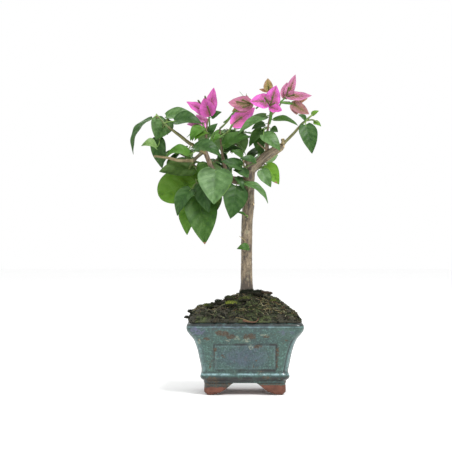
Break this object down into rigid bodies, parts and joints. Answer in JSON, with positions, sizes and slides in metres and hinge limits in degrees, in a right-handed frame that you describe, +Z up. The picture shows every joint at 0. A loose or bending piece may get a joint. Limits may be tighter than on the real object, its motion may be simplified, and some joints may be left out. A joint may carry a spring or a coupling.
{
  "type": "potted bougainvillea bonsai",
  "caption": "Small bonsai tree with one upright trunk, a flat open crown of leaves and pink bracts, and a mound of soil in a glazed rectangular pot on feet.",
  "frame": {"origin": "on the ground, under the middle of the whole plant and pot", "axes": "+Z up, the pot's long side along X, and the front of the plant facing -Y"},
  "size_m": [0.2174, 0.1354, 0.365],
  "materials": {
    "glaze": "mottled blue-green gloss glaze with rust-brown breaks",
    "clay": "bare red-brown fired clay",
    "soil": "dark crumbly soil with moss",
    "bark": "fissured grey-brown bark",
    "leaf": "green leaves with pink and magenta bracts"
  },
  "bodies": {
    "root": {"pot": "glaze", "pot_foot_front_left": "clay", "pot_foot_front_right": "clay", "pot_foot_back_left": "clay", "pot_foot_back_right": "clay", "soil": "soil", "trunk": "bark", "bough_right": "bark", "bough_right_upright": "bark", "bough_right_tip": "bark", "bough_left": "bark", "bough_left_upper": "bark", "bough_left_bend": "bark", "bough_left_spur": "bark", "bough_left_high": "bark", "bough_middle": "bark", "bough_back_left": "bark", "bough_back_right": "bark", "bough_back_top": "bark", "foliage_left_outer": "leaf", "foliage_left_middle": "leaf", "foliage_left_top": "leaf", "foliage_centre_low": "leaf", "foliage_junction": "leaf", "foliage_centre_top": "leaf", "foliage_right_top": "leaf", "foliage_right_tip": "leaf", "foliage_right_low": "leaf", "foliage_fork": "leaf", "foliage_below_fork": "leaf", "foliage_back_left": "leaf", "foliage_back_right": "leaf", "foliage_back_top": "leaf", "shoot_high": "leaf", "shoot_low": "leaf"}
  },
  "joints": []
}
